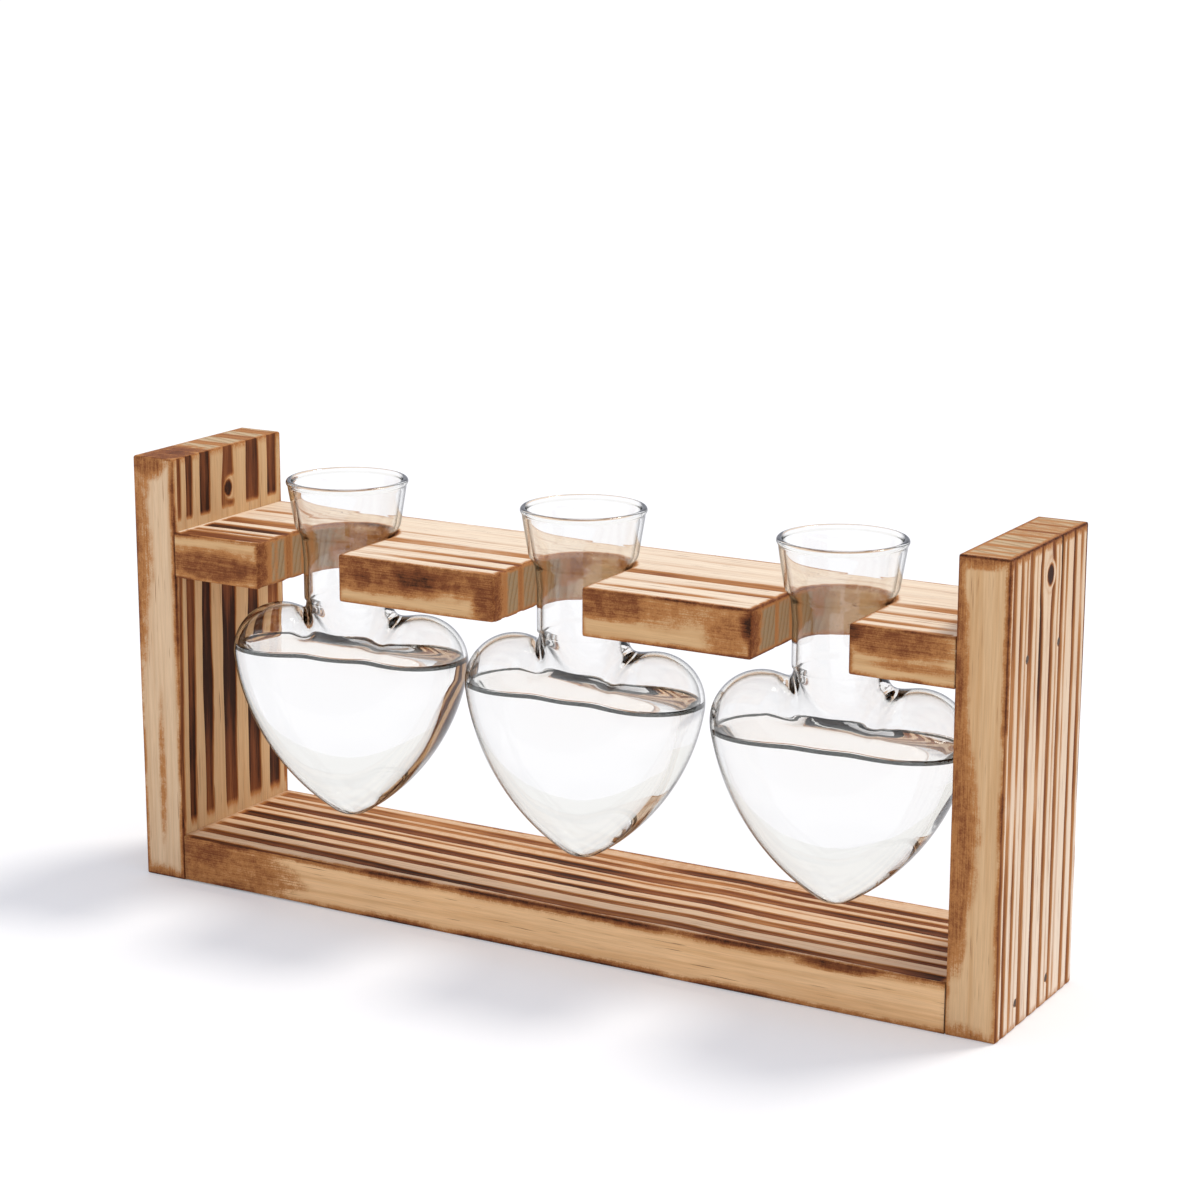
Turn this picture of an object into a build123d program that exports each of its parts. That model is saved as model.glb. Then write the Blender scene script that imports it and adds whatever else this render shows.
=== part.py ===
from build123d import *
import os

# A wooden stand with three hanging glass vases, in millimetres.
# The origin is at the middle of the stand's footprint, on the surface that it stands on.
# X runs along the stand, Y from its front to its back, Z up.
# The stand takes its width and height from the vases that hang in it.

# Boards
stand_depth = 60.0
upright_thickness = 16.3
upright_rise = 24.2
base_thickness = 15.9
board_edge_radius = 0.8

# Vase rail
rail_thickness = 15.4
slot_count = 3
slot_width = 31.5
slot_back_width = 15.5
slot_mouth_radius = 2.0
rail_edge_radius = 1.3

# Clear room below a vase, between two vases, and between an outer vase and its upright
tip_clearance = 7.7
vase_gap = 6.6
end_gap = 7.7

# Nails
nail_shank_diameter = 1.6
nail_head_diameter = 2.6
nail_head_thickness = 0.8
nail_length = 36.0
nail_point_length = 1.6
nail_point_diameter = 0.8
nail_recess = 0.3
nail_hole_clearance = 0.05
nail_front_place = 14.7
nail_pitch = 24.2

# Neck of the vase. The lap is how far its shoulder reaches over the slot's edge, and the play, flare, taper
# and inset are on each side.
glass_wall = 1.4
lip_diameter = 2.0
mouth_rise = 18.2
mouth_flare = 2.7
shoulder_rise = 2.6
shoulder_lap = 1.55
shoulder_radius = 5.0
seat_clearance = 0.35
tube_length = 35.3
tube_play = 0.95
tube_taper = 1.3
tube_bend_radius = 20.0
waist_drop = 6.0
waist_inset = 3.5
waist_radius = 3.5

# Heart body of the vase, with its rises over the middle of the ball that rounds its tip
tip_diameter = 22.0
bulb_rise = 24.4
bulb_diameter = 42.0
lobe_rise = 43.4
lobe_spacing = 50.6
lobe_diameter = 32.0
tube_foot_rise = 49.9
side_radius = 76.0

# How far each vase hangs turned about its neck, from left to right, in degrees
vase_turns = (8.5, 1.0, 4.0)
vase_names = ("vase_left", "vase_middle", "vase_right")

# Heights that follow from the sizes, over the surface that the stand is on
tip_height = base_thickness + tip_clearance + tip_diameter / 2
bulb_height = tip_height + bulb_rise
lobe_height = tip_height + lobe_rise
tube_foot_height = tip_height + tube_foot_rise
waist_height = tube_foot_height - waist_drop
rail_top_height = tube_foot_height + tube_length
rail_middle_height = rail_top_height - rail_thickness / 2
base_middle_height = base_thickness / 2
mouth_height = rail_top_height + mouth_rise
stand_height = rail_top_height + upright_rise

# Places along and across the stand
vase_width = lobe_spacing + lobe_diameter
slot_pitch = vase_width + vase_gap
slot_places = [(i - (slot_count - 1) / 2) * slot_pitch for i in range(slot_count)]
board_length = (slot_count - 1) * slot_pitch + vase_width + 2 * end_gap
upright_inner_x = board_length / 2
stand_width = board_length + 2 * upright_thickness
front_y = -stand_depth / 2
vase_axis_y = stand_depth / 2 - slot_back_width - slot_width / 2

# Widths of the neck
shoulder_diameter = slot_width + 2 * shoulder_lap
mouth_diameter = shoulder_diameter + 2 * mouth_flare
tube_top_diameter = slot_width - 2 * tube_play
tube_foot_diameter = tube_top_diameter - 2 * tube_taper
waist_diameter = tube_foot_diameter - 2 * waist_inset

# Nail holes
nail_hole_diameter = nail_shank_diameter + 2 * nail_hole_clearance
nail_pocket_diameter = nail_head_diameter + 2 * nail_hole_clearance
nail_pocket_depth = nail_recess + nail_head_thickness
nail_places_y = (front_y + nail_front_place, front_y + nail_front_place + nail_pitch)
nail_heights = {"rail": rail_middle_height, "base": base_middle_height}

os.makedirs("parts", exist_ok=True)


def hand_over(piece, name):
    """Labels a finished piece and writes its file."""
    piece.part.label = name
    export_step(piece.part, f"parts/{name}.step")


def nail_plane(side, y, height):
    """The plane of a nail's head on an upright's outer face, facing into the wood."""
    return Plane(origin=(side * stand_width / 2, y, height), x_dir=(0, 1, 0), z_dir=(-side, 0, 0))


# Uprights
for side, name in ((-1, "left_upright"), (1, "right_upright")):
    with BuildPart() as upright:
        with BuildSketch(Plane.XY):
            with Locations((side * (stand_width - upright_thickness) / 2, 0)):
                Rectangle(upright_thickness, stand_depth)
        extrude(amount=stand_height)
        fillet(upright.edges(), board_edge_radius)
        for height in nail_heights.values():
            for y in nail_places_y:
                plane = nail_plane(side, y, height)
                with BuildSketch(plane):
                    Circle(nail_hole_diameter / 2)
                extrude(amount=upright_thickness, mode=Mode.SUBTRACT)
                with BuildSketch(plane):
                    Circle(nail_pocket_diameter / 2)
                extrude(amount=nail_pocket_depth, mode=Mode.SUBTRACT)
    hand_over(upright, name)


def bore_nail_holes(height):
    """Cuts the four nail holes into a board's two ends, to the nails' points."""
    for side in (-1, 1):
        for y in nail_places_y:
            with BuildSketch(nail_plane(side, y, height)) as hole:
                Circle(nail_hole_diameter / 2)
            reach = nail_recess + nail_length + nail_hole_clearance
            extrude(hole.sketch, amount=reach, mode=Mode.SUBTRACT)


# Base board
with BuildPart() as base_board:
    with BuildSketch(Plane.XY):
        Rectangle(board_length, stand_depth)
    extrude(amount=base_thickness)
    fillet(base_board.edges().filter_by(Axis.X), board_edge_radius)
    bore_nail_holes(base_middle_height)
hand_over(base_board, "base_board")

# Vase rail, with slots that end in a half round
with BuildPart() as vase_rail:
    with BuildSketch(Plane.XY.offset(rail_top_height - rail_thickness)) as rail_outline:
        Rectangle(board_length, stand_depth)
        for x in slot_places:
            with Locations((x, vase_axis_y)):
                Circle(slot_width / 2, mode=Mode.SUBTRACT)
            with Locations((x, (front_y + vase_axis_y) / 2)):
                Rectangle(slot_width, vase_axis_y - front_y, mode=Mode.SUBTRACT)
        mouth_corners = [
            corner for corner in rail_outline.vertices().group_by(Axis.Y)[0]
            if abs(corner.X) < upright_inner_x - board_edge_radius
        ]
        fillet(mouth_corners, slot_mouth_radius)
    extrude(amount=rail_thickness)
    flat_faces = vase_rail.faces().filter_by(Axis.Z)
    long_edges = [
        edge for edge in flat_faces.edges()
        if abs(edge.center().X) < upright_inner_x - board_edge_radius
    ]
    fillet(long_edges, rail_edge_radius)
    bore_nail_holes(rail_middle_height)
hand_over(vase_rail, "vase_rail")

# Nails
for joint, height in nail_heights.items():
    for side, side_name in ((-1, "left"), (1, "right")):
        for y, end_name in zip(nail_places_y, ("front", "back")):
            head_plane = nail_plane(side, y, height).offset(nail_recess)
            with BuildPart() as nail:
                with BuildSketch(head_plane):
                    Circle(nail_head_diameter / 2)
                extrude(amount=nail_head_thickness)
                with BuildSketch(head_plane):
                    Circle(nail_shank_diameter / 2)
                extrude(amount=nail_length)
                point = nail.edges().filter_by(GeomType.CIRCLE).sort_by(Axis.X, reverse=side < 0)[0]
                chamfer(point, nail_point_length, (nail_shank_diameter - nail_point_diameter) / 2)
            hand_over(nail, f"{joint}_nail_{side_name}_{end_name}")


# The neck's outline from the mouth down, as radius and height of the glass's middle at the lip and of
# its outside below. At the rail's rounded top edge it keeps clear of the slot.
lip_radius = lip_diameter / 2
lip_middle = (mouth_diameter / 2 - lip_radius, mouth_height - lip_radius)
neck_outline = [
    (lip_middle[0] + glass_wall / 2, lip_middle[1]),
    (shoulder_diameter / 2, rail_top_height + shoulder_rise),
    (slot_width / 2 - seat_clearance, rail_top_height - rail_edge_radius / 2),
    (tube_top_diameter / 2, rail_middle_height),
    (tube_foot_diameter / 2, tube_foot_height),
    (waist_diameter / 2, waist_height),
    (waist_diameter / 2, bulb_height),
]
neck_radii = [shoulder_radius, shoulder_radius, tube_bend_radius, waist_radius, waist_radius]
tip_middle = Vector(0, tip_height)


def add_arc(middle, start, end):
    """Draws the arc about a middle from start to end, under half a turn."""
    radius = (start - middle).length
    halfway = (start - middle + end - middle).normalized()
    ThreePointArc(start, middle + halfway * radius, end)


def revolve_neck(plane, inset, mode):
    """Revolves the neck's outline, drawn in by the inset, about the vase's upright axis."""
    outline = [(radius - inset, height) for radius, height in neck_outline]
    with BuildSketch(plane) as profile:
        with BuildLine():
            FilletPolyline(*outline, radius=neck_radii)
            Polyline(outline[-1], (0, outline[-1][1]), (0, outline[0][1]), outline[0])
        make_face()
    revolve(profile.sketch, axis=Axis(plane.origin, (0, 0, 1)), mode=mode)


def revolve_drop(plane, ball_middle, ball_radius, inset, mode):
    """Revolves a drop whose ends are the tip's ball and the given ball, with a bulging side between.

    The outline is drawn in by the inset all round, so the side's arc keeps its middle.
    """
    run = ball_middle - tip_middle
    along_unit = run.normalized()
    aside_unit = Vector(-along_unit.Y, along_unit.X)
    tip_reach = side_radius - tip_diameter / 2
    ball_reach = side_radius - ball_radius
    along = (tip_reach**2 - ball_reach**2 + run.length**2) / (2 * run.length)
    aside = (tip_reach**2 - along**2) ** 0.5
    side_middle = tip_middle + along_unit * along - aside_unit * aside
    tip_inner = tip_diameter / 2 - inset
    ball_inner = ball_radius - inset
    bottom = tip_middle - along_unit * tip_inner
    top = ball_middle + along_unit * ball_inner
    side_start = tip_middle + (tip_middle - side_middle).normalized() * tip_inner
    side_end = ball_middle + (ball_middle - side_middle).normalized() * ball_inner
    with BuildSketch(plane) as profile:
        with BuildLine():
            add_arc(tip_middle, bottom, side_start)
            add_arc(side_middle, side_start, side_end)
            add_arc(ball_middle, side_end, top)
            Line(top, bottom)
        make_face()
    start = plane.from_local_coords(bottom)
    revolve(profile.sketch, axis=Axis(start, plane.from_local_coords(top) - start), mode=mode)


def form_vase(plane, inset, mode):
    """Makes the whole form of a vase, drawn in by the inset: neck, middle bulb and two lobes."""
    revolve_neck(plane, inset, mode)
    revolve_drop(plane, Vector(0, bulb_height), bulb_diameter / 2, inset, mode)
    for side in (-1, 1):
        lobe_middle = Vector(side * lobe_spacing / 2, lobe_height)
        revolve_drop(plane, lobe_middle, lobe_diameter / 2, inset, mode)


# Vases, each of one piece of glass
for name, x, turn in zip(vase_names, slot_places, vase_turns):
    vase_plane = Plane(
        origin=(x, vase_axis_y, 0),
        x_dir=Vector(1, 0, 0).rotate(Axis.Z, turn),
        z_dir=Vector(0, -1, 0).rotate(Axis.Z, turn),
    )
    with BuildPart() as vase:
        form_vase(vase_plane, 0, Mode.ADD)
        form_vase(vase_plane, glass_wall, Mode.SUBTRACT)
        with BuildSketch(vase_plane):
            with Locations(lip_middle):
                Circle(lip_radius)
        revolve(axis=Axis(vase_plane.origin, (0, 0, 1)))
    hand_over(vase, name)
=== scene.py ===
"""Looks of a propagation vase: a torched pine stand whose slotted rail holds hanging heart vases of glass.

Sizes are in millimetres in the part's own frame: X along the stand, Y from its front to its back and Z up,
with the origin in the middle of its footprint. They turn to metres where a mesh is made.
"""

import itertools
import logging
import math
from collections.abc import Callable, Iterable
from dataclasses import dataclass, field
from enum import Enum, IntEnum

import bmesh
import bpy
import numpy as np
from bmesh.types import BMEdge, BMesh, BMVert
from bpy.types import ID, Material, Mesh, Node, NodeSocket, NodeTree, Object
from mathutils import Matrix, Vector

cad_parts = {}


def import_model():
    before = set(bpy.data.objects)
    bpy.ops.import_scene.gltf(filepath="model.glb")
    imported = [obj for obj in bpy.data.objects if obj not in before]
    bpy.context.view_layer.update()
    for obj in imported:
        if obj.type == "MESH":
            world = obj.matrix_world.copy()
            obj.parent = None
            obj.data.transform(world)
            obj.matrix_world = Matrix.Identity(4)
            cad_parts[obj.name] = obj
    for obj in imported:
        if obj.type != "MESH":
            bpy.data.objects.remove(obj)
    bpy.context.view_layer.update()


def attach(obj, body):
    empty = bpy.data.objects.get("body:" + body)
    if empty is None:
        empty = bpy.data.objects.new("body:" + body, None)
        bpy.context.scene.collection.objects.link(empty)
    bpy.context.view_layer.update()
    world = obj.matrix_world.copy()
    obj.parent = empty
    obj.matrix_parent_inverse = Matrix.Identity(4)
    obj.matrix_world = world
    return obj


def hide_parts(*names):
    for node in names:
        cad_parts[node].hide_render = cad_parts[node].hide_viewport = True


Array = np.ndarray
Distance = Callable[[Array], Array]
Pair = tuple[float, float]
Triple = tuple[float, float, float]

LOG = logging.getLogger("vase_stand")
METRES = 0.001
WHITE = "#ffffff"
SEED_KEY, MIX_KEY, CELL_KEYS = 2654435761, 1274126177, (73856093, 19349663, 83492791)
OCTAVE_SHIFT = 17.3
SETTLE_STEP, NORMAL_STEP = 0.02, 0.05

# How wide one ring of the wave texture is at a scale of 1
WAVE_UNIT = 0.314

# The uprights' outer and inner faces, half the stand's depth, and where the vases' axes are
OUTER_X, INNER_X, HALF_DEPTH = 154.5, 138.2, 30.0
VASE_X, VASE_Y = (-89.2, 0.0, 89.2), -1.25


class Axis(IntEnum):
    """An axis of the part's frame, as its column number."""

    X = 0
    Y = 1
    Z = 2


class Face(Enum):
    """A face that clouds of scorch lie on: its axis and the sign of its outward direction."""

    FRONT = (Axis.Y, -1)
    TOP = (Axis.Z, 1)
    SLOT = (Axis.X, 1)


class Work(Enum):
    """What a step of a node chain does: its node, that node's setting and the inputs that it fills."""

    ADD = ("ShaderNodeMath", {"operation": "ADD"}, (0, 1))
    SUBTRACT = ("ShaderNodeMath", {"operation": "SUBTRACT"}, (0, 1))
    MULTIPLY = ("ShaderNodeMath", {"operation": "MULTIPLY"}, (0, 1))
    MAXIMUM = ("ShaderNodeMath", {"operation": "MAXIMUM"}, (0, 1))
    RISE = ("ShaderNodeMapRange", {"interpolation_type": "SMOOTHSTEP"}, (0, 1, 2, 3, 4))
    LAYER = ("ShaderNodeMix", {"data_type": "RGBA"}, (0, 6, 7))
    SHADE = ("ShaderNodeVectorMath", {"operation": "SCALE"}, (0, 3))


# Helpers for noise, meshes and nodes


def linear(code: str) -> tuple[float, float, float, float]:
    """Turns an sRGB hex colour into the linear colour, with an alpha of 1, that a socket takes."""
    parts = [int(code[i:i + 2], 16) / 255 for i in (1, 3, 5)]
    return (*(p / 12.92 if p <= 0.04045 else ((p + 0.055) / 1.055) ** 2.4 for p in parts), 1.0)


def ease(value: Array, start: float | Array, end: float | Array) -> Array:
    """Rises smoothly from 0 at start to 1 at end."""
    share = np.clip((value - start) / (end - start), 0.0, 1.0)
    return share * share * (3.0 - 2.0 * share)


def unit(vectors: Array) -> Array:
    """Gives each row the length 1, and leaves a row of zeros as it is."""
    return vectors / np.maximum(np.linalg.norm(vectors, axis=1, keepdims=True), 1e-9)


def scatter(cells: Array, seed: int) -> Array:
    """Gives each whole-number cell its own fixed number.

    Args:
        cells: N x K whole numbers.
        seed: Fixed seed.

    Returns:
        N numbers from 0 to 1.
    """
    mixed = np.full(len(cells), seed * SEED_KEY, np.int64)
    for column, key in zip(cells.T, CELL_KEYS):
        mixed ^= column * key
    mixed = (mixed ^ (mixed >> 13)) * MIX_KEY
    mixed ^= mixed >> 16
    return (mixed & 0xFFFF) / 65535.0


def noise(points: Array, seed: int, octaves: int = 2) -> Array:
    """Makes smooth noise about 0.5.

    Args:
        points: N x K places, one cell of noise to each unit.
        seed: Fixed seed.
        octaves: How many finer layers are added.

    Returns:
        N values, mostly from 0.1 to 0.9.
    """
    points = np.atleast_2d(points.T).T
    total = np.zeros(len(points))
    for octave in range(octaves):
        spread = points * 2.0**octave + OCTAVE_SHIFT * octave
        cell = np.floor(spread).astype(np.int64)
        part = ease(spread - cell, 0.0, 1.0)
        layer = np.zeros(len(points))
        for corner in itertools.product((0, 1), repeat=points.shape[1]):
            share = np.prod(np.where(np.array(corner) == 1, part, 1.0 - part), axis=1)
            layer += share * scatter(cell + np.array(corner), seed + octave)
        total += layer * 0.5**octave
    return total / (2.0 - 0.5 ** (octaves - 1))


def slopes(distance: Distance, points: Array, step: float) -> Array:
    """Finds how fast a distance changes along each axis, from a step to either side of each point."""
    pairs = [(distance(points + aside), distance(points - aside)) for aside in np.eye(3) * step]
    return np.stack([ahead - behind for ahead, behind in pairs], axis=1) / (2 * step)


def settle(points: Array, distance: Distance, level: float, rounds: int) -> Array:
    """Moves points straight on to the surface where a distance has the given level.

    Args:
        points: N x 3 places near the surface.
        distance: Gives each place its distance.
        level: The distance that the surface has.
        rounds: How often the points are moved.

    Returns:
        The moved points.
    """
    for _ in range(rounds):
        slope = slopes(distance, points, SETTLE_STEP)
        steepness = np.maximum((slope**2).sum(axis=1), 1e-6)
        points = points - ((distance(points) - level) / steepness)[:, None] * slope
    return points


def relax(points: Array, edges: Array) -> Array:
    """Moves each point halfway to the middle of its neighbours.

    Args:
        points: N x 3 places.
        edges: The two point numbers of each edge.

    Returns:
        The moved points.
    """
    total, count = np.zeros_like(points), np.zeros(len(points))
    for near, far in (edges.T, edges.T[::-1]):
        np.add.at(total, near, points[far])
        np.add.at(count, near, 1.0)
    return 0.5 * points + 0.5 * total / np.maximum(count, 1.0)[:, None]


def rounded(one: Array, other: Array, radius: float) -> Array:
    """Distance from where two forms overlap, with the edge between them rounded."""
    pair = np.stack([one, other]) + radius
    return np.minimum(pair.max(axis=0), 0.0) + np.hypot(*np.maximum(pair, 0.0)) - radius


def joined(one: Array, other: Array, softness: float | Array) -> Array:
    """Distance from two forms that run softly into each other."""
    share = np.maximum(softness - np.abs(one - other), 0.0) / softness
    return np.minimum(one, other) - share * share * softness / 4


def new_object(name: str, data: ID) -> Object:
    """Makes an object in the scene.

    Args:
        name: Its name.
        data: Its mesh, lamp or camera.

    Returns:
        The object.
    """
    made = bpy.data.objects.new(name, data)
    bpy.context.scene.collection.objects.link(made)
    return made


def make_object(name: str, points: Array, faces: list[list[int]]) -> Object:
    """Makes a smooth-shaded mesh object.

    Args:
        name: The name of object and mesh.
        points: N x 3 places in millimetres.
        faces: The point numbers of each face.

    Returns:
        The object.
    """
    mesh = bpy.data.meshes.new(name)
    mesh.from_pydata((points * METRES).tolist(), [], faces)
    mesh.validate()
    mesh.shade_smooth()
    return new_object(name, mesh)


def store(piece: Object, name: str, values: Array) -> None:
    """Stores one number for each point of a piece, for its material to read."""
    layer = piece.data.attributes.new(name, "FLOAT", "POINT")
    layer.data.foreach_set("value", values.astype(np.float32))


def places(verts: Iterable[BMVert]) -> Array:
    """Reads where points are, as N x 3 numbers."""
    return np.array([vert.co[:] for vert in verts])


def move(form: BMesh, points: Array) -> None:
    """Moves a form's points to other places.

    Args:
        form: The form.
        points: N x 3 places.
    """
    for vert, point in zip(form.verts, points):
        vert.co = point
    form.normal_update()


def mesh_of(form: BMesh, name: str) -> Mesh:
    """Turns a form into a mesh and frees the form.

    Args:
        form: The form.
        name: The mesh's name.

    Returns:
        The mesh.
    """
    mesh = bpy.data.meshes.new(name)
    form.to_mesh(mesh)
    form.free()
    return mesh


def evaluated_mesh(piece: Object) -> Mesh:
    """Turns an object with its modifiers into a plain mesh, and removes the object and its own mesh.

    Args:
        piece: The object.

    Returns:
        The plain mesh.
    """
    bpy.context.view_layer.update()
    graph = bpy.context.evaluated_depsgraph_get()
    mesh = bpy.data.meshes.new_from_object(piece.evaluated_get(graph))
    bpy.data.meshes.remove(piece.data)
    return mesh


def remesh(form: BMesh, spacing: float) -> BMesh:
    """Gives overlapping closed forms one even skin of four-sided faces.

    Args:
        form: The forms, which are freed.
        spacing: Width of a face.

    Returns:
        The skin.
    """
    holder = new_object("rough", mesh_of(form, "rough"))
    modifier = holder.modifiers.new("skin", "REMESH")
    modifier.mode = "VOXEL"
    modifier.voxel_size = spacing
    mesh = evaluated_mesh(holder)
    skin = bmesh.new()
    skin.from_mesh(mesh)
    bpy.data.meshes.remove(mesh)
    return skin


def close_band(form: BMesh, low: list[BMVert], high: list[BMVert]) -> None:
    """Fills the band between two rings that have as many points each."""
    for here, after in zip(range(len(low)), (*range(1, len(low)), 0)):
        form.faces.new((low[here], low[after], high[after], high[here]))


def bearing_of(vert: BMVert) -> float:
    """The direction of a point round the Z axis, in radians."""
    return math.atan2(vert.co.y, vert.co.x)


def add_node(tree: NodeTree, kind: str, inputs: dict | None = None, **settings: object) -> Node:
    """Adds a node, sets it and links it.

    Args:
        tree: The node tree.
        kind: The node's Blender type.
        inputs: Input name or number to a plain value, a hex colour, the socket that feeds it, or the node
            whose first live output feeds it.
        settings: Properties of the node.

    Returns:
        The node.
    """
    node = tree.nodes.new(kind)
    for key, value in settings.items():
        setattr(node, key, value)
    for key, value in (inputs or {}).items():
        if isinstance(value, Node):
            value = next(output for output in value.outputs if output.enabled)
        if isinstance(value, NodeSocket):
            tree.links.new(value, node.inputs[key])
        else:
            coloured = isinstance(value, str) and value.startswith("#")
            node.inputs[key].default_value = linear(value) if coloured else value
    return node


def add_steps(tree: NodeTree, signals: dict[str, Node | NodeSocket], steps: Iterable[tuple]) -> None:
    """Adds a chain of nodes, each fed by numbers, colours and the signals made before it.

    Args:
        tree: The node tree.
        signals: What gives each named signal. A step adds its own, or replaces the last of that name.
        steps: For each step its name, its work and what it takes in.
    """
    for name, work, *feeds in steps:
        kind, settings, slots = work.value
        inputs = {slot: signals.get(feed, feed) for slot, feed in zip(slots, feeds)}
        signals[name] = add_node(tree, kind, inputs, **settings)


def add_seen(tree: NodeTree) -> Node:
    """Adds nodes that give 1 for what the camera sees, straight or through glass."""
    path = add_node(tree, "ShaderNodeLightPath").outputs
    return add_node(tree, "ShaderNodeMath", {0: path["Is Camera Ray"], 1: path["Is Transmission Ray"]},
                    operation="MAXIMUM")


@dataclass(frozen=True)
class Finish:
    """A material, named for the real one."""

    name: str

    def shader(self, tree: NodeTree) -> Node:
        """Adds the material's nodes to its tree and gives the last one."""
        raise NotImplementedError

    def material(self) -> Material:
        """Builds the material.

        Returns:
            The material.
        """
        material = bpy.data.materials.new(self.name)
        material.use_nodes = True
        material.node_tree.nodes.clear()
        add_node(material.node_tree, "ShaderNodeOutputMaterial", {0: self.shader(material.node_tree)})
        return material


# Torched pine


@dataclass(frozen=True)
class PineFinish(Finish):
    """Pine, torched, wire-brushed and left unvarnished.

    The soft early wood chars and is brushed out, so each dark band lies a little low between pale ridges.
    The narrow faces are only licked by the flame: plain tan with red-brown clouds. Matt, with a faint sheen.
    Each grain is a name, its cells' width and length along the board, its detail and its roughness. Pine's
    fibres are about 0.04 wide and its pores finer still, so both are drawn as coarse as they need to show.
    """

    run: Axis
    pale: str = "#f9ecd7"
    tan: str = "#e2c29c"
    honey: str = "#c4986a"
    singed: str = "#b97e49"
    scorched: str = "#7e4727"
    charred: str = "#371f12"
    end_wood: str = "#c9b08c"
    end_ring: str = "#8a653f"
    ring_width: float = 3.3
    ring_turn: Triple = (0.3, 0.0, 0.3)
    ring_distortion: float = 2.6
    grains: tuple[tuple[str, float, float, float, float], ...] = (
        ("streak", 2.2, 90.0, 3.0, 0.6), ("line", 0.9, 150.0, 2.0, 0.6), ("fibre", 0.34, 11.0, 3.0, 0.6),
        ("check", 0.5, 18.0, 1.0, 0.6), ("speckle", 0.5, 0.5, 3.0, 0.65), ("blotch", 2.4, 2.4, 3.0, 0.65))
    roughness: float = 0.66
    sheen: float = 0.1
    fibre_height: float = 0.2
    fibre_strength: float = 0.35

    def shader(self, tree: NodeTree) -> Node:
        """Adds the nodes, which read the scorch that each board stores on its points.

        Args:
            tree: The material's node tree.

        Returns:
            The shader.
        """
        place = add_node(tree, "ShaderNodeTexCoord").outputs["Object"]
        signals = {key: add_node(tree, "ShaderNodeAttribute", attribute_name=key).outputs["Fac"]
                   for key in ("band", "scorch", "end", "paleness")}
        for key, width, length, detail, roughness in self.grains:
            scale = [1.0 / (width * METRES)] * 3
            scale[self.run] = 1.0 / (length * METRES)
            drawn_out = add_node(tree, "ShaderNodeMapping", {"Vector": place, "Scale": scale})
            signals[key] = add_node(tree, "ShaderNodeTexNoise", {
                "Vector": drawn_out, "Scale": 1.0, "Detail": detail, "Roughness": roughness})
        slanted = add_node(tree, "ShaderNodeMapping", {"Vector": place, "Rotation": self.ring_turn})
        signals["ring"] = add_node(tree, "ShaderNodeTexWave", {
            "Vector": slanted, "Scale": WAVE_UNIT / (self.ring_width * METRES),
            "Distortion": self.ring_distortion, "Detail": 2.0}, bands_direction="Y",
            wave_profile="SAW").outputs["Fac"]
        add_steps(tree, signals, (
            # Bare wood: tan, paler where the board says so, with soft streaks and growth lines
            ("streaks", Work.RISE, "streak", 0.4, 0.75, 0.0, 0.5),
            ("bare", Work.LAYER, "streaks", self.tan, self.honey),
            ("bare", Work.LAYER, "paleness", "bare", self.pale),
            ("lines", Work.RISE, "line", 0.48, 0.7, 0.0, 0.55),
            ("lines", Work.MULTIPLY, "lines", "paleness"),
            ("bare", Work.LAYER, "lines", "bare", self.singed),
            # End grain: rings with specks between them
            ("rings", Work.RISE, "ring", 0.35, 1.0, 0.0, 0.6),
            ("rings", Work.LAYER, "rings", self.end_wood, self.end_ring),
            ("pores", Work.RISE, "speckle", 0.42, 0.68, 0.0, 0.35),
            ("rings", Work.LAYER, "pores", "rings", self.honey),
            ("bare", Work.LAYER, "end", "bare", "rings"),
            # Thin dark resin checks, which end grain has not
            ("checks", Work.RISE, "check", 0.66, 0.74, 0.0, 0.7),
            ("faces", Work.SUBTRACT, 1.0, "end"),
            ("checks", Work.MULTIPLY, "checks", "faces"),
            ("bare", Work.LAYER, "checks", "bare", self.scorched),
            # Scorch: the fibres fray the bands, and the clouds are mottled as well
            ("fray", Work.RISE, "fibre", 0.3, 0.7, -0.11, 0.11),
            ("specks", Work.RISE, "speckle", 0.32, 0.68, -0.06, 0.06),
            ("mottle", Work.RISE, "blotch", 0.32, 0.68, -0.08, 0.08),
            ("mottle", Work.ADD, "specks", "mottle"),
            ("mottle", Work.ADD, "mottle", "fray"),
            ("share", Work.RISE, "band", 0.02, 0.3),
            ("fray", Work.MULTIPLY, "fray", "share"),
            ("band", Work.ADD, "band", "fray"),
            ("share", Work.RISE, "scorch", 0.02, 0.3),
            ("mottle", Work.MULTIPLY, "mottle", "share"),
            ("cloud", Work.ADD, "scorch", "mottle"),
            ("burnt", Work.MAXIMUM, "band", "cloud"),
            ("share", Work.RISE, "burnt", 0.04, 0.34),
            ("wood", Work.LAYER, "share", "bare", self.singed),
            ("share", Work.RISE, "burnt", 0.3, 0.68),
            ("wood", Work.LAYER, "share", "wood", self.scorched),
            ("share", Work.RISE, "burnt", 0.62, 1.0),
            ("wood", Work.LAYER, "share", "wood", self.charred),
            ("light", Work.RISE, "fibre", 0.3, 0.7, 0.93, 1.06),
            ("wood", Work.SHADE, "wood", "light")))
        relief = add_node(tree, "ShaderNodeBump", {
            "Strength": self.fibre_strength, "Distance": self.fibre_height * METRES,
            "Height": signals["fibre"]})
        return add_node(tree, "ShaderNodeBsdfPrincipled", {
            "Base Color": signals["wood"], "Roughness": self.roughness, "Specular IOR Level": self.sheen,
            "Normal": relief})


@dataclass(frozen=True)
class Band:
    """A charred band along a board: its middle, from the board's front edge, its width and its darkness.

    Its strength gives places along the board with the share of the darkness that shows there.
    """

    place: float
    width: float
    darkness: float
    strength: tuple[Pair, ...] = ((0, 1),)


@dataclass(frozen=True)
class Cloud:
    """A scorched patch on a face, with its middle and its reach along the face's two axes in their order."""

    face: Face
    middle: Pair
    reach: Pair
    darkness: float
    softness: float = 0.45


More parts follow.
